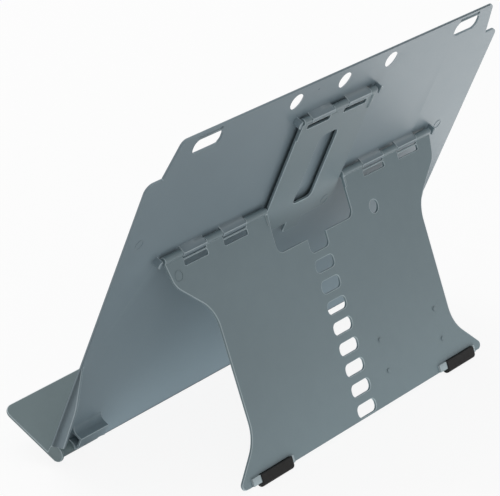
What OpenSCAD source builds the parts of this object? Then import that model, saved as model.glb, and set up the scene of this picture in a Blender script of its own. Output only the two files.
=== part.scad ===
// Folding desk copyholder: a back panel with a fold-up front ledge, a rear leg on a
// snap-in hinge, and a small prop link that engages the ladder of slots in the leg.
// Every part is built in a frame of its own hinge and then set in the shared frame:
// X across the panel, Y from front to back, Z up from the table.

/* [Assembly] */
// piece to draw
// angle of the panel above the table
panel_angle = 67.8; // [60:0.1:75]
// angle between the rear leg and the panel's downward direction
leg_angle = 43.85; // [0:0.05:140]
// angle between the front ledge and the panel's upward direction
ledge_angle = 87.5; // [1:0.1:95]
// facets of a full circle
circle_facets = 64; // [24:4:128]
// facets of one rounded corner of an outline
corner_facets = 8; // [3:1:16]

/* [Back panel] */
// width of the panel
panel_width = 300; // [200:1:400]
// height of the panel, with its top tab
panel_height = 217.6; // [150:0.1:300]
// height of the two shoulders beside the top tab
shoulder_height = 195.4; // [140:0.1:280]
// thickness of the panel
panel_thickness = 1.3; // [1:0.1:3]
// half width of the top tab at its foot
tab_foot_half = 138.5; // [100:0.1:150]
// half width of the top tab at its top edge
tab_top_half = 132.5; // [90:0.1:150]
// radius of the top tab's corners
tab_corner_radius = 4; // [1:0.1:10]
// radius of the shoulder corners
shoulder_corner_radius = 5; // [1:0.1:10]
// distance of the row of round holes below the panel's top edge
hole_row_drop = 8.2; // [7:0.1:30]
// radius of the round holes at the back
hole_radius = 4.7; // [2:0.1:8]
// radius of the round holes at the front
hole_front_radius = 6.6; // [2:0.1:10]
// number of round holes
hole_count = 3; // [1:1:5]
// distance between neighbouring round holes
hole_pitch = 40.7; // [20:0.1:60]
// distance of each long slot's centre from the top corner of the tab
slot_setback = 21.5; // [15:0.1:40]
// distance of the long slots' centre line below the panel's top edge
slot_drop = 8.5; // [8:0.1:30]
// half length of a long slot
slot_half_length = 11.1; // [5:0.1:20]
// half width of a long slot
slot_half_width = 4.6; // [2:0.1:8]
// rounding of a slot's ends as a share of its half width
slot_round_share = 0.85; // [0.5:0.01:0.99]
// half length of the shallow groove above a long slot
groove_half_length = 9; // [4:0.1:18]
// width of that groove
groove_width = 2.2; // [1:0.1:4]
// depth of that groove
groove_depth = 0.6; // [0.3:0.1:0.9]
// gap between that groove and the slot
groove_gap = 0.5; // [0.3:0.1:2]

/* [Side cheeks and ears] */
// thickness of a side cheek
cheek_thickness = 1.8; // [1:0.1:4]
// height where a cheek starts to stand out
cheek_top_height = 73; // [40:0.1:120]
// height where a cheek's rim bends
cheek_bend_height = 46; // [30:0.1:100]
// how far the rim stands out at that bend
cheek_bend_depth = 5.5; // [1:0.1:8]
// radius of that bend
cheek_bend_radius = 60; // [5:1:100]
// height of a cheek's lower back corner
cheek_low_height = 18.6; // [10:0.1:40]
// how far a cheek stands out at that corner
cheek_depth = 6.4; // [2:0.1:10]
// distance from an ear's inner face to the ledge's end
ear_setback = 31.8; // [20:0.1:60]
// thickness of an ear
ear_thickness = 1.3; // [0.8:0.1:3]
// height where an ear's slanted top edge starts
ear_top_height = 20.3; // [18:0.1:26]
// height of an ear's upper back corner
ear_corner_height = 19.8; // [17:0.1:25]
// how far an ear stands out
ear_depth = 7.2; // [6.5:0.1:10]
// height of an ear's lower back corner
ear_low_height = 12.6; // [10:0.1:16]
// height where an ear's lower edge meets the panel
ear_foot_height = 1.5; // [0:0.1:5]
// height of the top of each corner opening, between an ear and the panel's side
pocket_height = 14.6; // [14.5:0.1:18]
// width of the roof that runs from each ear over the corner opening
roof_width = 20.4; // [10:0.1:26]
// thickness of that roof and of the lip behind it
roof_thickness = 1.3; // [0.8:0.1:2]
// radius where the roof runs into the panel's back
roof_blend_radius = 4; // [1:0.1:5]
// height of the lip's lower edge
lip_low_height = 13.4; // [12:0.1:17]

/* [Ledge hinge] */
// height of the ledge's hinge axis
ledge_axis_height = 9.3; // [6:0.1:15]
// distance of that axis behind the panel's back face
ledge_axis_back = 1.4; // [0:0.1:4]
// radius of the ledge's hinge rods
ledge_rod_radius = 3.5; // [2:0.1:5]
// radius of the journal that turns in an ear
ledge_journal_radius = 2; // [1:0.1:3]
// radius of the end discs
ledge_disc_radius = 4.8; // [3:0.1:7]
// thickness of the end discs
ledge_disc_thickness = 1.5; // [0.8:0.1:3]
// gap between an end disc and the cheek beside it
ledge_end_gap = 0.9; // [0.3:0.1:3]
// distance from the ledge's end to the snap hook over a hinge rod
ledge_hook_setback = 9.7; // [4:0.1:20]
// width of that hook
ledge_hook_width = 7.6; // [3:0.1:15]
// wall thickness of that hook
ledge_hook_wall = 1.3; // [0.8:0.1:3]
// height above the hinge rod's axis where that hook ends
ledge_hook_rise = 1.6; // [0.3:0.1:2.5]

/* [Front ledge] */
// distance of the ledge's front edge from its hinge axis
ledge_reach = 40.6; // [25:0.1:60]
// thickness of the ledge
ledge_thickness = 1.5; // [1:0.1:3]
// radius of the ledge's front corners
ledge_corner_radius = 6; // [1:0.1:12]
// gap between the ledge's inner edge and its hinge rods, seen from above
ledge_edge_gap = 0.3; // [0.2:0.1:2]
// how far the root blocks reach behind the hinge axis
root_back = 1.5; // [0:0.1:4]
// how far the root blocks reach past the front of the end discs
root_lead = 0.1; // [0:0.1:0.3]

/* [Leg and link hinges] */
// height of the leg's hinge axis on the panel
leg_axis_height = 133.66; // [90:0.01:180]
// distance of the link's hinge axis below the panel's top edge
link_axis_drop = 23.4; // [15:0.1:40]
// distance of both axes behind the panel's back face
hinge_back = 2.6; // [2:0.1:5]
// radius of the bars inside the hooks
journal_radius = 1.05; // [0.8:0.05:3]
// radius of the bars beside the hooks
bar_radius = 2.1; // [1:0.05:3]
// wall thickness of the hooks
hook_wall = 1.15; // [0.6:0.05:3]
// height above the hinge axis where a hook's roof leaves the panel
hook_root_rise = 2.6; // [1.8:0.1:4]
// height above the hinge axis of the roof's outer corner
hook_front_rise = 1.4; // [1.2:0.1:1.5]
// how far the hook's lip reaches below the hinge axis
hook_lip_drop = 0.85; // [0.3:0.05:1]
// radial clearance of every bar in its hook or bore
running_clearance = 0.05; // [0.01:0.01:0.1]
// gap left between neighbouring pieces
side_gap = 0.3; // [0.2:0.05:1]
// distance from a hinge axis to the thin band that crosses each window
band_start = 3; // [3:0.05:4]
// width of that band in the leg
leg_band_width = 0.95; // [0.6:0.05:2]
// width of that band in the link
link_band_width = 0.7; // [0.6:0.05:2]
// radius of the corners of the windows
window_radius = 0.8; // [0.2:0.1:1]
// near side of the inner leg window
leg_window_a = 50.7; // [30:0.1:60]
// far side of the inner leg window
leg_window_b = 69.8; // [60:0.1:80]
// near side of the outer leg window
leg_window_c = 83; // [75:0.1:95]
// far side of the outer leg window
leg_window_d = 101.6; // [90:0.1:112]
// near side of a link window
link_window_a = 6; // [3:0.1:12]
// far side of a link window
link_window_b = 25.5; // [15:0.1:30]
// distance of a leg stop post from the middle
leg_post_offset = 118; // [90:0.1:140]
// distance of a link stop post from the middle
link_post_offset = 33.7; // [30:0.1:50]
// radius of the half round stop posts
post_radius = 2.4; // [2:0.1:6]
// height of the stop posts above the panel
post_height = 4.6; // [3:0.1:8]

/* [Rear leg] */
// thickness of the leg and link plates
plate_thickness = 1.65; // [1:0.05:3]
// half width of the leg at its hinge bar
leg_top_half = 115.5; // [80:0.1:140]
// half width of the leg where its shoulder turns in
leg_shoulder_half = 112.4; // [80:0.1:140]
// distance from the hinge to that shoulder
leg_shoulder_reach = 14.8; // [8:0.1:40]
// half width of the leg's straight middle
leg_middle_half = 89.7; // [60:0.1:120]
// distance from the hinge where the middle starts
leg_middle_start = 35.2; // [20:0.1:60]
// length of the flared foot below the leg's straight middle
leg_flare_length = 22; // [10:0.1:40]
// half width of the leg at its foot, before the corner is rounded
leg_foot_half = 111.8; // [70:0.1:130]
// radius of the leg's top corners
leg_top_radius = 1.5; // [0.5:0.1:5]
// radius of the leg's shoulder corners
leg_shoulder_radius = 12; // [1:0.1:15]
// radius of the leg's inward corners
leg_waist_radius = 22; // [2:0.1:25]
// radius of the foot corners
leg_foot_radius = 2.6; // [1:0.1:10]
// distance from the hinge to the lower edge of the hinge windows
leg_window_reach = 6.9; // [4:0.1:12]
// half width of the opening for the link
opening_half = 33; // [25:0.1:50]
// distance from the hinge to the shoulders of that opening
opening_reach = 24.2; // [15:0.1:40]
// radius of that opening's shoulders
opening_radius = 4.5; // [1:0.1:10]
// half width of the notch below that opening
notch_half = 8; // [5:0.1:15]
// distance from the hinge to the end of that notch
notch_reach = 32.6; // [25:0.1:50]
// radius of the notch's corners
notch_radius = 3; // [1:0.1:6]
// width of the raised ribs beside the opening and along the link's sides
rib_width = 1.6; // [1:0.1:5]
// height of those ribs above their plate
rib_height = 0.6; // [0.3:0.1:2]
// distance from the hinge to the lower end of the leg's ribs
leg_rib_reach = 7.8; // [4:0.1:20]
// distance from the hinge to the lower end of the link's ribs
link_rib_reach = 12; // [4:0.1:20]
// number of ladder slots
ladder_count = 8; // [3:1:12]
// distance from the hinge to the first ladder slot
ladder_start = 40.65; // [30:0.05:60]
// distance from the last ladder slot's centre to the leg's lower edge
ladder_end_setback = 4.49; // [4:0.01:20]
// width of a ladder slot
ladder_width = 16; // [10:0.1:30]
// height of a ladder slot
ladder_height = 7; // [4:0.1:10]
// radius of a ladder slot's corners
ladder_radius = 2.9; // [1:0.1:3.4]
// distance of the single round hole from the middle
leg_hole_offset = 51.6; // [30:0.1:80]
// distance of that hole from the hinge
leg_hole_reach = 24.6; // [15:0.1:40]
// radius of that hole
leg_hole_radius = 3.8; // [2:0.1:6]
// radius of the four small pips
pip_radius = 1.2; // [0.5:0.1:3]
// height of the pips
pip_height = 0.5; // [0.2:0.1:1]
// distance of the inner pips from the middle
pip_inner_offset = 25.5; // [15:0.1:50]
// distance of the outer pips from the middle
pip_outer_offset = 77; // [50:0.1:85]
// distance of the upper pips from the leg's lower edge
pip_upper_setback = 34.8; // [25:0.1:60]
// distance of the lower pips from the leg's lower edge
pip_lower_setback = 16.8; // [8:0.1:24]

/* [Feet] */
// near side of the left foot pad, the right one being the same pad further along the edge
pad_near = 73.4; // [50:0.1:90]
// far side of the left foot pad
pad_far = 99; // [80:0.1:105]
// width of the thick lug on the near side of the left pad
lug_near_width = 6.4; // [1:0.1:8]
// width of the thick lug on its far side
lug_far_width = 1.6; // [1:0.1:5]
// half thickness of those lugs
lug_half_thickness = 2; // [1:0.1:2.6]
// half thickness of a pad and radius of its rounded tread
pad_radius = 2.7; // [1.5:0.1:5]
// distance from a pad's tread centre up to the leg's lower edge
leg_edge_setback = 0.18; // [0:0.01:2]
// distance from a pad's tread centre up to the pad's top face
pad_top_setback = 4.28; // [3:0.01:8]
// radius of the bar a pad is pushed over
pad_bar_radius = 1.7; // [0.8:0.05:3]
// distance from a pad's tread centre up to that bar
pad_bar_setback = 1.88; // [1:0.01:4]

/* [Prop link] */
// half width of the link
link_half = 31.5; // [20:0.1:50]
// distance from the hinge to the link's shoulders
link_shoulder_reach = 79.1; // [50:0.1:100]
// half width of the link's end tab
link_tab_half = 6.75; // [4:0.05:12]
// distance from the hinge to the end of that tab
link_tab_reach = 86.3; // [60:0.1:110]
// radius of the link's shoulder corners
link_shoulder_radius = 6; // [1:0.1:12]
// radius of the tab's corners
link_tab_radius = 2; // [0.5:0.1:5]
// half width of the long slot in the link
link_slot_half = 8.1; // [4:0.1:15]
// rounding of that slot's ends as a share of its half width
link_slot_round_share = 0.4; // [0.2:0.01:0.99]
// distance from the hinge to the near end of that slot
link_slot_start = 17.8; // [10:0.1:40]
// distance from the hinge to the far end of that slot
link_slot_end = 65.6; // [40:0.1:80]
// distance from the hinge to the lower edge of the link windows
link_window_reach = 6.5; // [4:0.1:12]

/* [Hidden] */
half_turn = 180;
full_turn = 360;
quarter_turn = 90;
mirrored = [-1, 1];
panel_half = panel_width / 2;
overlap = panel_thickness / 16;
$fn = circle_facets;

// where each hinge and edge lies, front to back, with the panel's bottom corner at zero
leg_ground_angle = half_turn - panel_angle - leg_angle;
ledge_rise_angle = half_turn - panel_angle - ledge_angle;
leg_axis_rise = leg_axis_height * sin(panel_angle) - hinge_back * cos(panel_angle);
leg_axis_depth = leg_axis_height * cos(panel_angle) + hinge_back * sin(panel_angle);
pad_center_reach = (leg_axis_rise - pad_radius) / sin(leg_ground_angle);
back_limit = leg_axis_depth + pad_center_reach * cos(leg_ground_angle) + pad_radius;
ledge_axis_depth = ledge_axis_height * cos(panel_angle) + ledge_axis_back * sin(panel_angle);
front_limit = ledge_axis_depth - ledge_reach * cos(ledge_rise_angle)
    - ledge_disc_radius * sin(ledge_rise_angle);
middle_shift = -(back_limit + front_limit) / 2;

// sizes that follow from the fits
hook_bore_radius = journal_radius + running_clearance;
hook_depth = hook_bore_radius + hook_wall;
ledge_bore_radius = ledge_rod_radius + running_clearance;
ledge_hook_outer = ledge_bore_radius + ledge_hook_wall;
ear_bore_radius = ledge_journal_radius + running_clearance;
pad_bore_radius = pad_bar_radius + running_clearance;
slot_offset = tab_top_half - slot_setback;
slot_height = panel_height - slot_drop;
hole_row_height = panel_height - hole_row_drop;
link_axis_height = panel_height - link_axis_drop;
ledge_half_width = panel_half - cheek_thickness - ledge_end_gap;
ledge_hook_far = ledge_half_width - ledge_hook_setback;
ledge_hook_near = ledge_hook_far - ledge_hook_width;
ear_offset = ledge_half_width - ear_setback;
ear_outer = ear_offset + ear_thickness;
rod_start = ear_outer + side_gap;
ledge_front_start = ledge_rod_radius + ledge_edge_gap;
pad_shifts = [0, lug_near_width - lug_far_width - pad_near - pad_far];
leg_length = pad_center_reach - leg_edge_setback;
leg_middle_end = leg_length - leg_flare_length;
ladder_pitch = (leg_length - ladder_end_setback - ladder_start) / (ladder_count - 1);
pad_bar_reach = pad_center_reach - pad_bar_setback;
pad_top_reach = pad_center_reach - pad_top_setback;

// frames: local X runs to the right seen from the back, local Y up the plate, local Z out of its back
module on_panel() {
    translate([0, middle_shift, 0])
        rotate([half_turn - panel_angle, 0, half_turn])
            children();
}

module on_hinge(height, back, angle) {
    on_panel()
        translate([0, height, back])
            rotate([-angle, 0, 0])
                children();
}

module on_leg() on_hinge(leg_axis_height, hinge_back, leg_angle) children();
module on_link() on_hinge(link_axis_height, hinge_back, 0) children();
module on_ledge() on_hinge(ledge_axis_height, ledge_axis_back, ledge_angle) children();

// both sides of the middle
module both_sides() {
    children();
    mirror([1, 0, 0])
        children();
}

// a profile drawn in local Y and Z, run along local X
module along_x(start, finish) {
    translate([start, 0, 0])
        rotate([quarter_turn, 0, quarter_turn])
            linear_extrude(finish - start)
                children();
}

module rod_x(start, finish, radius) {
    translate([start, 0, 0])
        rotate([0, quarter_turn, 0])
            cylinder(h = finish - start, r = radius);
}

// outlines with rounded corners
function unit(v) = v / norm(v);
function turn_between(a, b) = (b - a + full_turn + half_turn) % full_turn - half_turn;
function arc_points(c, r, from, sweep) =
    [for (i = [0:corner_facets]) c + r * [cos(from + sweep * i / corner_facets),
                                          sin(from + sweep * i / corner_facets)]];
function corner(a, p, b, r) =
    let (u = unit(a - p), w = unit(b - p))
    let (half = acos(u * w) / 2)
    let (c = p + unit(u + w) * r / sin(half))
    let (s = p + u * r / tan(half) - c, e = p + w * r / tan(half) - c)
    let (from = atan2(s.y, s.x))
    arc_points(c, r, from, turn_between(from, atan2(e.y, e.x)));

module rounded(points, radii) {
    n = len(points);
    polygon([for (i = [0:n - 1])
        each radii[i] > 0
            ? corner(points[(i + n - 1) % n], points[i], points[(i + 1) % n], radii[i])
            : [points[i]]]);
}

// a mirrored outline from its right half, listed from top to bottom
module mirrored_outline(half_points, radii) {
    n = len(half_points);
    left = [for (i = [0:n - 1]) [-half_points[n - 1 - i].x, half_points[n - 1 - i].y]];
    rounded(concat(half_points, left), concat(radii, [for (i = [0:n - 1]) radii[n - 1 - i]]));
}

module rounded_bar(half_length, half_width, radius) {
    mirrored_outline([[half_length, half_width], [half_length, -half_width]], [radius, radius]);
}

// back panel
module panel_outline() {
    mirrored_outline(
        [[tab_top_half, panel_height],
         [tab_foot_half, shoulder_height],
         [panel_half, shoulder_height],
         [panel_half, pocket_height],
         [ear_outer, pocket_height],
         [ear_outer, 0]],
        [tab_corner_radius, 0, shoulder_corner_radius, 0, 0, 0]);
}

module panel_plate() {
    translate([0, 0, -panel_thickness])
        linear_extrude(panel_thickness)
            difference() {
                panel_outline();
                for (side = mirrored)
                    translate([side * slot_offset, slot_height])
                        rounded_bar(slot_half_length, slot_half_width, slot_half_width * slot_round_share);
            }
}

module hole_row() {
    for (i = [0:hole_count - 1])
        translate([(i - (hole_count - 1) / 2) * hole_pitch, hole_row_height, -panel_thickness - overlap])
            cylinder(h = panel_thickness + 2 * overlap, r1 = hole_front_radius, r2 = hole_radius);
}

module groove() {
    translate([slot_offset, slot_height + slot_half_width + groove_gap + groove_width / 2, -groove_depth])
        linear_extrude(groove_depth + overlap)
            square([2 * groove_half_length, groove_width], center = true);
}

module cheek() {
    along_x(panel_half - cheek_thickness, panel_half)
        rounded(
            [[cheek_top_height, -overlap],
             [cheek_bend_height, cheek_bend_depth],
             [cheek_low_height, cheek_depth],
             [pocket_height, -panel_thickness],
             [cheek_top_height, -panel_thickness]],
            [0, cheek_bend_radius, 0, 0, 0]);
}

// an ear that holds a journal of the ledge, and the roof and lip that run from it towards the cheek
module ear() {
    roof_end = ear_outer + roof_width;
    difference() {
        along_x(ear_offset, roof_end)
            rounded(
                [[ear_top_height + 2 * roof_blend_radius, -panel_thickness],
                 [ear_top_height + 2 * roof_blend_radius, 0],
                 [ear_top_height, 0],
                 [ear_corner_height, ear_depth],
                 [ear_low_height, ear_depth],
                 [ear_foot_height, 0],
                 [ear_foot_height, -panel_thickness]],
                [0, 0, roof_blend_radius, 0, 0, 0, 0]);
        along_x(ear_outer, roof_end + overlap)
            polygon(
                [[ear_top_height - roof_thickness, -panel_thickness - overlap],
                 [ear_top_height - roof_thickness, 0],
                 [ear_corner_height - roof_thickness, ear_depth - roof_thickness],
                 [lip_low_height, ear_depth - roof_thickness],
                 [lip_low_height, ear_depth + overlap],
                 [ear_foot_height - overlap, ear_depth + overlap],
                 [ear_foot_height - overlap, -panel_thickness - overlap]]);
    }
}

// a snap hook about a hinge axis: a sloping roof over the bar and a lip behind it, open below
module hook(near, far, height) {
    translate([0, height, hinge_back])
        difference() {
            along_x(near, far)
                polygon(
                    [[hook_bore_radius, -hinge_back - overlap],
                     [hook_root_rise, -hinge_back - overlap],
                     [hook_front_rise, hook_depth],
                     [-hook_lip_drop, hook_depth],
                     [-hook_lip_drop, 0],
                     [hook_bore_radius, 0]]);
            rod_x(near - overlap, far + overlap, hook_bore_radius);
        }
}

// the hook over a hinge rod of the ledge, standing on the panel's lower edge
module ledge_hook() {
    front = -ledge_axis_back - panel_thickness;
    root = pocket_height + overlap - ledge_axis_height - ledge_hook_rise;
    translate([0, ledge_axis_height, ledge_axis_back])
        difference() {
            along_x(ledge_hook_near, ledge_hook_far) {
                intersection() {
                    circle(ledge_hook_outer);
                    translate([ledge_hook_rise, front])
                        square([ledge_hook_outer, ledge_hook_outer - front]);
                }
                translate([ledge_hook_rise, front])
                    square([root, panel_thickness]);
            }
            rod_x(ledge_hook_near - overlap, ledge_hook_far + overlap, ledge_bore_radius);
        }
}

module post(offset, height) {
    translate([offset, height, -overlap])
        linear_extrude(post_height + overlap)
            intersection() {
                circle(post_radius);
                translate([0, -post_radius])
                    square([post_radius, 2 * post_radius]);
            }
}

module back_panel() {
    color("#77858b")
        on_panel()
            difference() {
                union() {
                    panel_plate();
                    both_sides() {
                        cheek();
                        ear();
                        ledge_hook();
                        hook(leg_window_a + side_gap, leg_window_b - side_gap, leg_axis_height);
                        hook(leg_window_c + side_gap, leg_window_d - side_gap, leg_axis_height);
                        hook(link_window_a + side_gap, link_window_b - side_gap, link_axis_height);
                        post(leg_post_offset, leg_axis_height);
                        post(link_post_offset, link_axis_height);
                    }
                }
                hole_row();
                both_sides() {
                    groove();
                    translate([0, ledge_axis_height, ledge_axis_back])
                        rod_x(ear_offset, ear_outer + overlap, ear_bore_radius);
                }
            }
}

// front ledge
module ledge_plate() {
    translate([0, 0, -ledge_disc_radius])
        linear_extrude(ledge_thickness)
            mirrored_outline(
                [[ledge_half_width, ledge_reach], [ledge_half_width, ledge_front_start]],
                [ledge_corner_radius, 0]);
}

module root_block(near, far) {
    along_x(near, far)
        translate([-root_back, -ledge_disc_radius])
            square([root_back + ledge_disc_radius + root_lead, ledge_disc_radius]);
}

module front_ledge() {
    color("#5f6f71")
        on_ledge() {
            ledge_plate();
            both_sides() {
                rod_x(rod_start, ledge_half_width - overlap, ledge_rod_radius);
                rod_x(ear_offset + side_gap, rod_start + overlap, ledge_journal_radius);
                rod_x(ledge_half_width - ledge_disc_thickness, ledge_half_width, ledge_disc_radius);
                root_block(rod_start, ledge_hook_near - side_gap);
                root_block(ledge_hook_far + side_gap, ledge_half_width);
            }
        }
}

// a hinge bar that is thinner where the hooks hold it
module hinge_bar(start, finish, windows) {
    rod_x(start, finish, journal_radius);
    edges = concat([start], windows, [finish]);
    for (i = [0:2:len(edges) - 2])
        rod_x(edges[i], edges[i + 1], bar_radius);
}

// a hinge window, cut past the bar and crossed by a thin band
module window(near, far, reach, band_width) {
    translate([near, -band_start])
        square([far - near, band_start + bar_radius]);
    translate([(near + far) / 2, -(reach + band_start + band_width) / 2])
        rounded_bar((far - near) / 2, (reach - band_start - band_width) / 2, window_radius);
}

// a raised rib beside a hinge, on the side of the plate seen from the back
module rib(near, far, reach) {
    translate([near, -reach, plate_thickness / 2 - overlap])
        linear_extrude(rib_height + overlap)
            square([far - near, reach]);
}

// rear leg
module leg_outline() {
    mirrored_outline(
        [[leg_top_half, 0],
         [leg_shoulder_half, -leg_shoulder_reach],
         [leg_middle_half, -leg_middle_start],
         [leg_middle_half, -leg_middle_end],
         [leg_foot_half, -leg_length]],
        [leg_top_radius, leg_shoulder_radius, leg_waist_radius, leg_waist_radius, leg_foot_radius]);
}

module link_opening() {
    mirrored_outline(
        [[opening_half, bar_radius],
         [opening_half, -opening_reach],
         [notch_half, -opening_reach],
         [notch_half, -notch_reach]],
        [0, opening_radius, 0, notch_radius]);
}

module ladder() {
    for (i = [0:ladder_count - 1])
        translate([0, -ladder_start - i * ladder_pitch])
            rounded_bar(ladder_width / 2, ladder_height / 2, ladder_radius);
}

module leg_cutouts() {
    link_opening();
    ladder();
    translate([leg_hole_offset, -leg_hole_reach])
        circle(leg_hole_radius);
    for (side = mirrored)
        mirror([side > 0 ? 0 : 1, 0]) {
            window(leg_window_a, leg_window_b, leg_window_reach, leg_band_width);
            window(leg_window_c, leg_window_d, leg_window_reach, leg_band_width);
        }
    for (shift = pad_shifts)
        translate([shift + pad_near - side_gap, -leg_length - overlap])
            square([pad_far - pad_near + 2 * side_gap,
                    leg_length + overlap - pad_top_reach + side_gap]);
}

// a thick lug at one end of a foot pad
module lug(near, far) {
    translate([near, -leg_length, -lug_half_thickness])
        linear_extrude(2 * lug_half_thickness)
            square([far - near, leg_length - pad_top_reach]);
}

module pips() {
    for (offset = [pip_inner_offset, pip_outer_offset])
        for (setback = [pip_upper_setback, pip_lower_setback])
            translate([offset, setback - leg_length, plate_thickness / 2 - overlap])
                cylinder(h = pip_height + overlap, r = pip_radius);
}

module rear_leg() {
    color("#6f8386")
        on_leg() {
            translate([0, 0, -plate_thickness / 2])
                linear_extrude(plate_thickness)
                    difference() {
                        leg_outline();
                        leg_cutouts();
                    }
            pips();
            both_sides() {
                rib(opening_half, opening_half + rib_width, leg_rib_reach);
                hinge_bar(opening_half, leg_top_half,
                          [leg_window_a, leg_window_b, leg_window_c, leg_window_d]);
            }
            for (shift = pad_shifts)
                translate([shift, 0, 0]) {
                    lug(pad_near - side_gap - lug_near_width, pad_near - side_gap);
                    lug(pad_far + side_gap, pad_far + side_gap + lug_far_width);
                    translate([0, -pad_bar_reach, 0])
                        rod_x(pad_near - side_gap - overlap, pad_far + side_gap + overlap, pad_bar_radius);
                }
        }
}

// foot pads
module foot_pad(shift) {
    color("#201e1c")
        on_leg()
            translate([shift, 0, 0])
                difference() {
                    along_x(pad_near, pad_far) {
                        translate([-pad_center_reach, 0])
                            circle(pad_radius);
                        translate([-pad_center_reach, -pad_radius])
                            square([pad_center_reach - pad_top_reach, 2 * pad_radius]);
                    }
                    translate([0, -pad_bar_reach, 0])
                        rod_x(pad_near - overlap, pad_far + overlap, pad_bore_radius);
                }
}

module foot_pad_left() foot_pad(pad_shifts[0]);
module foot_pad_right() foot_pad(pad_shifts[1]);

// prop link
module link_outline() {
    mirrored_outline(
        [[link_half, 0],
         [link_half, -link_shoulder_reach],
         [link_tab_half, -link_shoulder_reach],
         [link_tab_half, -link_tab_reach]],
        [0, link_shoulder_radius, 0, link_tab_radius]);
}

module link_slot() {
    translate([0, -(link_slot_start + link_slot_end) / 2])
        rounded_bar(link_slot_half, (link_slot_end - link_slot_start) / 2,
                    link_slot_half * link_slot_round_share);
}

module prop_link() {
    color("#66757b")
        on_link() {
            translate([0, 0, -plate_thickness / 2])
                linear_extrude(plate_thickness)
                    difference() {
                        link_outline();
                        link_slot();
                        both_sides()
                            window(link_window_a, link_window_b, link_window_reach, link_band_width);
                    }
            both_sides() {
                rib(link_half - rib_width, link_half, link_rib_reach);
                hinge_bar(0, link_half, [link_window_a, link_window_b]);
            }
        }
}

back_panel();
front_ledge();
rear_leg();
prop_link();
foot_pad_left();
foot_pad_right();
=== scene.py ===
"""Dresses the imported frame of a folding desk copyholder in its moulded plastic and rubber.

The file is laid out as a Blender add-on and is run as a script. Every size is in metres,
in the frame's own axes: X along the panel, Y from front to back, Z up from the table.
"""

import math

import bmesh
import bpy
from bpy.props import FloatProperty, FloatVectorProperty, PointerProperty
from bpy.types import Operator, Panel, PropertyGroup
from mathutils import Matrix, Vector
from mathutils.bvhtree import BVHTree


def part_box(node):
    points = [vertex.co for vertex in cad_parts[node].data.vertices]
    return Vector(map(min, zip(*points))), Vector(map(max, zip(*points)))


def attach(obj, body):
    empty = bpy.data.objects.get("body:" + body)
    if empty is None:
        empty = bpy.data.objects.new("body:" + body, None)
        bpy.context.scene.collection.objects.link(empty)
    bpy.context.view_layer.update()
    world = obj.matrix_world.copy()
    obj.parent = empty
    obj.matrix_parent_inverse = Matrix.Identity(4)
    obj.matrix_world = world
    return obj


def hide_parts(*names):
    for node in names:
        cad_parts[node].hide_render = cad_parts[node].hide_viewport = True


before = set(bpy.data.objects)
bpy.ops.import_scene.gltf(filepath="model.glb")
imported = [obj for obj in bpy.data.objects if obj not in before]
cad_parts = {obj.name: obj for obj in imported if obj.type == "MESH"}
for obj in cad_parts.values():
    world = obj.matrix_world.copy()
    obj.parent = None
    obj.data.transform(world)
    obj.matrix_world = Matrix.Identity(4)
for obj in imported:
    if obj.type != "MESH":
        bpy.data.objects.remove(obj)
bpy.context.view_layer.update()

bl_info = {
    "name": "Folding Copyholder",
    "version": (1, 0, 0),
    "blender": (4, 5, 0),
    "location": "View3D > Sidebar > Copyholder",
    "description": "Builds a folding desk copyholder round its packed frame",
    "category": "Object",
}

MM = 0.001

# The widest gap between loose corners that are merged.
MERGE_GAP = 0.002 * MM
# Neighbouring faces that turn by less than this are made one.
FLAT_ANGLE = math.radians(0.4)
# Edges that turn by less than this aren't rounded.
ROUNDED_ANGLE = math.radians(35)
# Edges that turn by more than this stay creased in the shading.
CREASED_ANGLE = math.radians(50)
# The narrowest face that a rounded edge may border, in radii.
ROOM = 2.2
# The shortest edge whose narrow face becomes a pale rim of painted highlight.
SHORTEST_RIM = 3 * MM
# The furthest that a rounded corner may lie off the CAD surface, in radii.
STRAY = 0.5
# The material slot of the paler plastic that paints a highlight on rims, rounded edges and lugs.
PAINTED_HIGHLIGHT_SLOT = 1

# Centres of the ejector marks, in millimetres.
PANEL_MARKS = [(138.9, 23.3, 141.8), (-128.7, 15.3, 122.2)]
LEG_MARKS = [(108.1, 22.9, 113.6)]
LINK_MARKS = [(-24.6, 13.8, 109.5)]
# Sides of a mark's ring, and of the line that it is drawn with.
RING_SIDES = 40
LINE_SIDES = 8

# Place, width and power in watts of each lamp. The first two stand for light off the table.
UNDER_PLACE = Vector((0, 0.02, 0.0005))
UNDER_WIDTH = 0.24
UNDER_POWER = 0.18
ASIDE_PLACE = Vector((-0.7, 0.05, 0.0005))
ASIDE_WIDTH = 0.9
ASIDE_POWER = 2.6
OVER_PLACE = Vector((-0.4, -1.2, 1.8))
OVER_WIDTH = 1.6
OVER_POWER = 16
# What the lamps face: straight up, or the middle of the object.
UPWARD = Vector((0, 0, 1))
MIDDLE = Vector((0, 0, 0.1))
# Strength of the surroundings' light on the object.
WORLD_LIGHT = 0.58
# How much of the floor's shade the camera sees as plain white.
FLOOR_WHITE = 0.9

# The camera's place, and its turn in degrees.
CAMERA_PLACE = (0.99092, 0.78264, 0.66396)
CAMERA_TURN = (65.3424, -0.4093, 129.1341)
# Width of the camera's sensor, in millimetres.
SENSOR_WIDTH = 36
# The nearest and furthest places that the camera sees.
NEAREST = 0.05
FURTHEST = 50


def srgb(red, green, blue):
    """The linear colour of an 8-bit screen colour."""
    shares = (red / 255, green / 255, blue / 255)
    return tuple(c / 12.92 if c <= 0.04045 else ((c + 0.055) / 1.055) ** 2.4 for c in shares)


def colour(name, description, value):
    """A colour that the user can change."""
    return FloatVectorProperty(
        name=name, description=description, subtype="COLOR", size=3, min=0, max=1, default=value
    )


def length(name, description, value):
    """A length that the user can change."""
    return FloatProperty(
        name=name, description=description, subtype="DISTANCE", unit="LENGTH", min=0, default=value
    )


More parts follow.
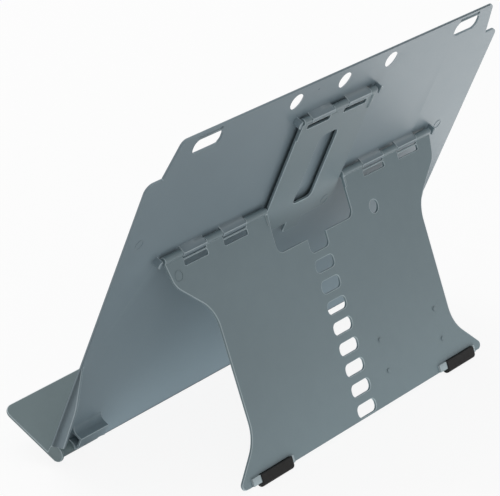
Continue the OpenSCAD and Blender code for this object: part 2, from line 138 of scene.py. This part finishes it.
class CopyholderSizes(PropertyGroup):
    """Sizes of the finish: edge rounding, moulding marks and surface grain."""

    panel_angle: FloatProperty(
        name="Panel Angle",
        description="Angle of the back panel above the table",
        subtype="ANGLE",
        unit="ROTATION",
        default=math.radians(67.8),
    )
    leg_angle: FloatProperty(
        name="Leg Angle",
        description="Angle of the rear leg above the table",
        subtype="ANGLE",
        unit="ROTATION",
        default=math.radians(68.35),
    )
    edge_radius: length("Edge Radius", "Rounding along the edges of the mouldings", 0.36 * MM)
    plain_area: FloatProperty(
        name="Plain Area",
        description="Area above which a face of the back panel keeps its sharp edges",
        unit="AREA",
        min=0,
        default=600 * MM * MM,
    )
    pad_edge_radius: length("Pad Edge Radius", "Rounding along the edges of the foot pads", 0.35 * MM)
    lug_reach: length("Lug Reach", "How far the widest lug beside a foot pad runs", 7.0 * MM)
    mark_radius: length("Mark Radius", "Radius of an ejector mark", 2.8 * MM)
    mark_line: length("Mark Line", "Half width of an ejector mark's raised line", 0.16 * MM)
    grain: length("Grain", "Depth of the moulded grain", 0.03 * MM)
    camera_lens: FloatProperty(
        name="Camera Lens",
        description="Focal length of the camera, in millimetres on a 36 mm sensor",
        default=182.25,
    )
    floor_size: length("Floor Size", "Width of the floor", 12.0)


class CopyholderColours(PropertyGroup):
    """Colours of the plastics, the painted highlight along their edges, the rubber and the floor."""

    panel: colour("Panel", "Colour of the back panel", srgb(125, 141, 149))
    # The ledge is the same plastic as the panel; its darker tone is painted shade.
    ledge: colour("Ledge", "Colour of the front ledge", srgb(118, 134, 137))
    leg: colour("Leg", "Colour of the rear leg", srgb(122, 139, 145))
    link: colour("Link", "Colour of the prop link", srgb(122, 138, 144))
    # The paler edge colour paints the highlight that edges, rims and lugs catch.
    edge: colour("Edge", "Colour along the rounded edges", srgb(172, 187, 192))
    rubber: colour("Rubber", "Colour of the foot pads", srgb(22, 21, 20))
    floor: colour("Floor", "Colour of the floor", srgb(238, 238, 238))


class Shade:
    """A number or a node's output that takes part in shader sums."""

    def __init__(self, finish, socket):
        self.finish = finish
        self.socket = socket

    def _sum(self, operation, *values):
        return self.finish.node("ShaderNodeMath", {"operation": operation}, dict(enumerate(values)))

    def __add__(self, other):
        return self._sum("ADD", self, other)

    __radd__ = __add__

    def __mul__(self, other):
        return self._sum("MULTIPLY", self, other)

    __rmul__ = __mul__

    def __sub__(self, other):
        return self._sum("SUBTRACT", self, other)

    def __rsub__(self, other):
        return self._sum("SUBTRACT", other, self)


class Finish:
    """A material's node tree."""

    def __init__(self, owner):
        self.tree = owner.node_tree
        self.tree.nodes.clear()

    def node(self, kind, settings=None, inputs=None, output=0):
        """Adds a node: its settings first, then the values or links of its sockets."""
        made = self.tree.nodes.new(kind)
        for name, value in (settings or {}).items():
            setattr(made, name, value)
        for name, value in (inputs or {}).items():
            socket = made.inputs[name]
            if isinstance(value, Shade):
                self.tree.links.new(value.socket, socket)
            else:
                socket.default_value = value
        return Shade(self, made.outputs[output]) if made.outputs else None

    def noise(self, scale, detail=2, roughness=0.5):
        """Noise on the piece's own coordinates."""
        place = self.node("ShaderNodeTexCoord", output="Object")
        return self.node(
            "ShaderNodeTexNoise",
            inputs={"Vector": place, "Scale": scale, "Detail": detail, "Roughness": roughness},
        )

    def toned(self, base, tone):
        """A colour made lighter or darker by a number."""
        return self.node("ShaderNodeVectorMath", {"operation": "SCALE"}, {0: base, "Scale": tone})


def new_material(name):
    """An empty node material, and its tree."""
    material = bpy.data.materials.new(name)
    material.use_nodes = True
    return material, Finish(material)


def moulded_plastic(name, base, grain, roughness=0.32):
    """Matte moulded plastic with a spark-eroded grain and faint flow marks."""
    material, finish = new_material(name)
    flow = finish.noise(scale=9, detail=3, roughness=0.6)
    cloud = finish.noise(scale=120, detail=3, roughness=0.6)
    fine = finish.noise(scale=1500)
    tone = 1 + (flow - 0.5) * 0.16 + (cloud - 0.5) * 0.07 + (fine - 0.5) * 0.05
    bump = finish.node(
        "ShaderNodeBump",
        inputs={"Strength": 0.35, "Distance": grain, "Height": fine + cloud * 0.4},
    )
    shader = finish.node(
        "ShaderNodeBsdfPrincipled",
        inputs={
            "Base Color": finish.toned(base, tone),
            "Roughness": roughness + (cloud - 0.5) * 0.14 + (flow - 0.5) * 0.08,
            "Normal": bump,
            "IOR": 1.5,
        },
    )
    finish.node("ShaderNodeOutputMaterial", inputs={"Surface": shader})
    return material


def moulded_rubber(name, base, grain):
    """Soft black rubber, dusty where it is handled."""
    material, finish = new_material(name)
    dust = finish.noise(scale=260, detail=4, roughness=0.65)
    fine = finish.noise(scale=2200)
    bump = finish.node(
        "ShaderNodeBump", inputs={"Strength": 0.5, "Distance": grain, "Height": fine + dust * 0.6}
    )
    shader = finish.node(
        "ShaderNodeBsdfPrincipled",
        inputs={
            "Base Color": finish.toned(base, 0.7 + dust * 0.6),
            "Roughness": 0.58 + (dust - 0.5) * 0.25,
            "Normal": bump,
            "IOR": 1.52,
        },
    )
    finish.node("ShaderNodeOutputMaterial", inputs={"Surface": shader})
    return material


def pale_floor(name, base):
    """A pale floor that the camera sees as white, with the object's shadow kept faint."""
    material, finish = new_material(name)
    soft = finish.noise(scale=3)
    cloth = finish.node(
        "ShaderNodeBsdfDiffuse", inputs={"Color": finish.toned(base, 0.99 + soft * 0.02)}
    )
    white = finish.node("ShaderNodeEmission", inputs={"Color": (1, 1, 1, 1), "Strength": 1})
    seen = finish.node("ShaderNodeLightPath", output="Is Camera Ray")
    mixed = finish.node("ShaderNodeMixShader", inputs={0: seen * FLOOR_WHITE, 1: cloth, 2: white})
    finish.node("ShaderNodeOutputMaterial", inputs={"Surface": mixed})
    return material


def plain_copy(node):
    """A merged copy of a CAD node's mesh, with flat faces made whole."""
    mesh = bpy.data.meshes.new(node)
    form = bmesh.new()
    form.from_mesh(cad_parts[node].data)
    bmesh.ops.remove_doubles(form, verts=form.verts, dist=MERGE_GAP)
    bmesh.ops.dissolve_limit(
        form, angle_limit=FLAT_ANGLE, verts=form.verts, edges=form.edges, delimit=set()
    )
    form.to_mesh(mesh)
    form.free()
    return mesh


def near(place, box, reach):
    """Whether a place lies in a box or within reach of it."""
    return all(low - reach < value < high + reach for value, low, high in zip(place, *box))


def round_edges(form, radius, widest, plain_boxes):
    """Rounds the sharp edges that have room for it, and marks the thin ribs as pale rims of painted
    highlight.

    Edges of faces over the widest area stay sharp, as do those of faces too narrow for the radius
    and those round the plain boxes.
    """
    sizes, _ = settings()
    sharp = []
    for edge in form.edges:
        if len(edge.link_faces) != 2 or edge.calc_face_angle() < ROUNDED_ANGLE:
            continue
        if max(face.calc_area() for face in edge.link_faces) > widest:
            continue
        if any(near(end.co, box, sizes.lug_reach) for end in edge.verts for box in plain_boxes):
            continue
        across = {face: face.calc_area() / edge.calc_length() for face in edge.link_faces}
        if min(across.values()) > radius * ROOM:
            sharp.append(edge)
        elif edge.calc_length() > SHORTEST_RIM:
            min(across, key=across.get).material_index = PAINTED_HIGHLIGHT_SLOT
    surface = BVHTree.FromBMesh(form)
    bmesh.ops.bevel(
        form,
        geom=sharp,
        offset=radius,
        offset_type="OFFSET",
        segments=2,
        profile=0.5,
        affect="EDGES",
        clamp_overlap=False,
        material=PAINTED_HIGHLIGHT_SLOT,
        loop_slide=False,
    )
    for corner in form.verts:
        place, _, _, distance = surface.find_nearest(corner.co)
        if distance > radius * STRAY:
            corner.co = place


def settle(piece):
    """Makes the result of a piece's modifiers its plain mesh."""
    graph = bpy.context.evaluated_depsgraph_get()
    before = piece.data
    made = bpy.data.meshes.new_from_object(
        piece.evaluated_get(graph), preserve_all_data_layers=True, depsgraph=graph
    )
    piece.modifiers.clear()
    piece.data = made
    bpy.data.meshes.remove(before)


def dress(node, body, materials, radius, widest=math.inf, plain_boxes=()):
    """A rounded copy of a CAD node that stands for it and rides on its body."""
    mesh = plain_copy(node)
    form = bmesh.new()
    form.from_mesh(mesh)
    round_edges(form, radius, widest, plain_boxes)
    form.to_mesh(mesh)
    form.free()
    piece = bpy.data.objects.new(node + "_finish", mesh)
    bpy.context.scene.collection.objects.link(piece)
    for material in materials:
        mesh.materials.append(material)
    for polygon in mesh.polygons:
        polygon.use_smooth = True
    mesh.set_sharp_from_angle(angle=CREASED_ANGLE)
    weighted = piece.modifiers.new("even_faces", "WEIGHTED_NORMAL")
    weighted.weight = 100
    weighted.keep_sharp = True
    settle(piece)
    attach(piece, body)
    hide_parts(node)
    return piece


def paint_light_on_lugs(leg, pad, reach):
    """Gives the lugs at both ends of a foot pad's box the paler edge plastic, as painted light on
    them.
    """
    lowest, highest = pad
    for polygon in leg.data.polygons:
        x, y, z = polygon.center
        beside = 0 < lowest[0] - x < reach or 0 < x - highest[0] < reach
        if beside and lowest[1] < y < highest[1] and lowest[2] < z < highest[2]:
            polygon.material_index = PAINTED_HIGHLIGHT_SLOT


def settings():
    """The scene's sizes and colours."""
    scene = bpy.context.scene
    return scene.copyholder_sizes, scene.copyholder_colours


def ring_tree(name, material):
    """A node tree that sets a thin raised ring on every point it is given."""
    tree = bpy.data.node_groups.new(name, "GeometryNodeTree")
    face = tree.interface
    face.new_socket("Points", in_out="INPUT", socket_type="NodeSocketGeometry")
    for size in ("Ring Radius", "Line Radius", "Tilt"):
        face.new_socket(size, in_out="INPUT", socket_type="NodeSocketFloat")
    face.new_socket("Rings", in_out="OUTPUT", socket_type="NodeSocketGeometry")

    def node(kind, **inputs):
        made = tree.nodes.new(kind)
        for socket, value in inputs.items():
            socket = made.inputs[socket.replace("_", " ")]
            if isinstance(value, bpy.types.NodeSocket):
                tree.links.new(value, socket)
            else:
                socket.default_value = value
        return made.outputs

    given = node("NodeGroupInput")
    circle = "GeometryNodeCurvePrimitiveCircle"
    path = node(circle, Resolution=RING_SIDES, Radius=given["Ring Radius"])
    line = node(circle, Resolution=LINE_SIDES, Radius=given["Line Radius"])
    ring = node("GeometryNodeCurveToMesh", Curve=path[0], Profile_Curve=line[0])
    turn = node("ShaderNodeCombineXYZ", X=given["Tilt"])
    placed = node(
        "GeometryNodeInstanceOnPoints", Points=given["Points"], Instance=ring[0], Rotation=turn[0]
    )
    real = node("GeometryNodeRealizeInstances", Geometry=placed[0])
    finished = node("GeometryNodeSetMaterial", Geometry=real[0], Material=material)
    node("NodeGroupOutput", Rings=finished[0])
    return tree


def ejector_marks(node, body, places, tilt):
    """The faint rings that the mould's ejector pins left on one moulding."""
    sizes, _ = settings()
    material = bpy.data.objects[node + "_finish"].data.materials[0]
    name = node + "_marks"
    points = bpy.data.meshes.new(name)
    points.from_pydata([[value * MM for value in place] for place in places], [], [])
    piece = bpy.data.objects.new(name, points)
    bpy.context.scene.collection.objects.link(piece)
    tree = ring_tree(name, material)
    rings = piece.modifiers.new("rings", "NODES")
    rings.node_group = tree
    chosen = {"Ring Radius": sizes.mark_radius, "Line Radius": sizes.mark_line, "Tilt": tilt}
    for item in tree.interface.items_tree:
        if item.name in chosen:
            rings[item.identifier] = chosen[item.name]
    settle(piece)
    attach(piece, body)


def finishes(base):
    """The plastic of a moulding, and a paler copy of it along its rounded edges as painted highlight.
    """
    sizes, colours = settings()
    return [
        moulded_plastic(base + "_plastic", getattr(colours, base), sizes.grain),
        moulded_plastic(base + "_edge", colours.edge, sizes.grain * 0.5, roughness=0.36),
    ]


class DressBackPanel(Operator):
    """Finish the back panel with its hooks, posts, cheeks and ears"""

    bl_idname = "copyholder.back_panel"
    bl_label = "Back Panel"

    def execute(self, context):
        sizes, _ = settings()
        dress(
            "back_panel",
            "panel",
            finishes("panel"),
            sizes.edge_radius,
            widest=sizes.plain_area,
        )
        return {"FINISHED"}


class DressFrontLedge(Operator):
    """Finish the fold-up front ledge"""

    bl_idname = "copyholder.front_ledge"
    bl_label = "Front Ledge"

    def execute(self, context):
        sizes, _ = settings()
        dress("front_ledge", "ledge", finishes("ledge"), sizes.edge_radius)
        return {"FINISHED"}


class DressRearLeg(Operator):
    """Finish the rear leg with its ladder of slots"""

    bl_idname = "copyholder.rear_leg"
    bl_label = "Rear Leg"

    def execute(self, context):
        sizes, _ = settings()
        pads = [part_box(pad) for pad in ("foot_pad_left", "foot_pad_right")]
        leg = dress(
            "rear_leg",
            "leg",
            finishes("leg"),
            sizes.edge_radius,
            plain_boxes=pads,
        )
        # The lugs get the paler edge plastic as painted light.
        for pad in pads:
            paint_light_on_lugs(leg, pad, sizes.lug_reach)
        return {"FINISHED"}


class DressPropLink(Operator):
    """Finish the prop link"""

    bl_idname = "copyholder.prop_link"
    bl_label = "Prop Link"

    def execute(self, context):
        sizes, _ = settings()
        dress("prop_link", "link", finishes("link"), sizes.edge_radius)
        return {"FINISHED"}


class DressFootPads(Operator):
    """Finish the two rubber foot pads"""

    bl_idname = "copyholder.foot_pads"
    bl_label = "Foot Pads"

    def execute(self, context):
        sizes, colours = settings()
        rubber = moulded_rubber("pad_rubber", colours.rubber, sizes.grain)
        for node in ("foot_pad_left", "foot_pad_right"):
            dress(node, "leg", [rubber, rubber], sizes.pad_edge_radius)
        return {"FINISHED"}


class AddEjectorMarks(Operator):
    """Add the faint rings of the mould's ejector pins to the panel, the leg and the link"""

    bl_idname = "copyholder.ejector_marks"
    bl_label = "Ejector Marks"

    def execute(self, context):
        sizes, _ = settings()
        ejector_marks("back_panel", "panel", PANEL_MARKS, sizes.panel_angle)
        ejector_marks("rear_leg", "leg", LEG_MARKS, -sizes.leg_angle)
        ejector_marks("prop_link", "link", LINK_MARKS, sizes.panel_angle)
        return {"FINISHED"}


def soft_lamp(name, place, target, width, power, mirrored=True):
    """A square soft lamp that faces a place, and may be kept out of the object's gloss."""
    lamp = bpy.data.lights.new(name, "AREA")
    lamp.shape = "SQUARE"
    lamp.size = width
    lamp.energy = power
    made = bpy.data.objects.new(name, lamp)
    made.location = place
    made.rotation_euler = (target - place).to_track_quat("-Z", "Y").to_euler()
    made.visible_camera = False
    made.visible_glossy = mirrored
    bpy.context.scene.collection.objects.link(made)


class BuildStage(Operator):
    """Lay the pale floor and set the lamps, the surroundings and the camera"""

    bl_idname = "copyholder.stage"
    bl_label = "Stage"

    def execute(self, context):
        sizes, colours = settings()
        half = sizes.floor_size / 2
        mesh = bpy.data.meshes.new("floor")
        mesh.from_pydata(
            [(-half, -half, 0), (half, -half, 0), (half, half, 0), (-half, half, 0)],
            [],
            [(0, 1, 2, 3)],
        )
        mesh.materials.append(pale_floor("floor_paper", colours.floor))
        floor = bpy.data.objects.new("floor", mesh)
        context.scene.collection.objects.link(floor)

        above_under = UNDER_PLACE + UPWARD
        above_aside = ASIDE_PLACE + UPWARD
        soft_lamp("lamp_under", UNDER_PLACE, above_under, UNDER_WIDTH, UNDER_POWER, mirrored=False)
        soft_lamp("lamp_aside", ASIDE_PLACE, above_aside, ASIDE_WIDTH, ASIDE_POWER)
        soft_lamp("lamp_over", OVER_PLACE, MIDDLE, OVER_WIDTH, OVER_POWER)

        world = bpy.data.worlds.new("surroundings")
        world.use_nodes = True
        finish = Finish(world)
        path = finish.node("ShaderNodeLightPath", output="Is Camera Ray")
        blank = (1, 1, 1, 1)
        dim = finish.node("ShaderNodeBackground", inputs={"Color": blank, "Strength": WORLD_LIGHT})
        white = finish.node("ShaderNodeBackground", inputs={"Color": blank, "Strength": 1})
        mixed = finish.node("ShaderNodeMixShader", inputs={0: path, 1: dim, 2: white})
        finish.node("ShaderNodeOutputWorld", inputs={"Surface": mixed})
        context.scene.world = world

        lens = bpy.data.cameras.new("camera")
        lens.sensor_fit = "HORIZONTAL"
        lens.sensor_width = SENSOR_WIDTH
        lens.lens = sizes.camera_lens
        lens.clip_start = NEAREST
        lens.clip_end = FURTHEST
        camera = bpy.data.objects.new("camera", lens)
        camera.location = CAMERA_PLACE
        camera.rotation_euler = tuple(math.radians(angle) for angle in CAMERA_TURN)
        context.scene.collection.objects.link(camera)
        context.scene.camera = camera
        context.scene.view_settings.view_transform = "Standard"
        return {"FINISHED"}


OPERATORS = (
    DressBackPanel,
    DressFrontLedge,
    DressRearLeg,
    DressPropLink,
    DressFootPads,
    AddEjectorMarks,
    BuildStage,
)


class CopyholderPanel(Panel):
    """Lists the copyholder's pieces, sizes and colours"""

    bl_idname = "VIEW3D_PT_copyholder"
    bl_label = "Folding Copyholder"
    bl_space_type = "VIEW_3D"
    bl_region_type = "UI"
    bl_category = "Copyholder"

    def draw(self, context):
        for group in settings():
            for name in group.__annotations__:
                self.layout.prop(group, name)
        for operator in OPERATORS:
            self.layout.operator(operator.bl_idname)


CLASSES = (CopyholderSizes, CopyholderColours, *OPERATORS, CopyholderPanel)


def register():
    for each in CLASSES:
        bpy.utils.register_class(each)
    bpy.types.Scene.copyholder_sizes = PointerProperty(type=CopyholderSizes)
    bpy.types.Scene.copyholder_colours = PointerProperty(type=CopyholderColours)


def unregister():
    del bpy.types.Scene.copyholder_colours
    del bpy.types.Scene.copyholder_sizes
    for each in reversed(CLASSES):
        bpy.utils.unregister_class(each)


def main():
    """Builds every piece and the stage."""
    register()
    for operator in OPERATORS:
        family, name = operator.bl_idname.split(".")
        getattr(getattr(bpy.ops, family), name)()


if __name__ == "__main__":
    main()
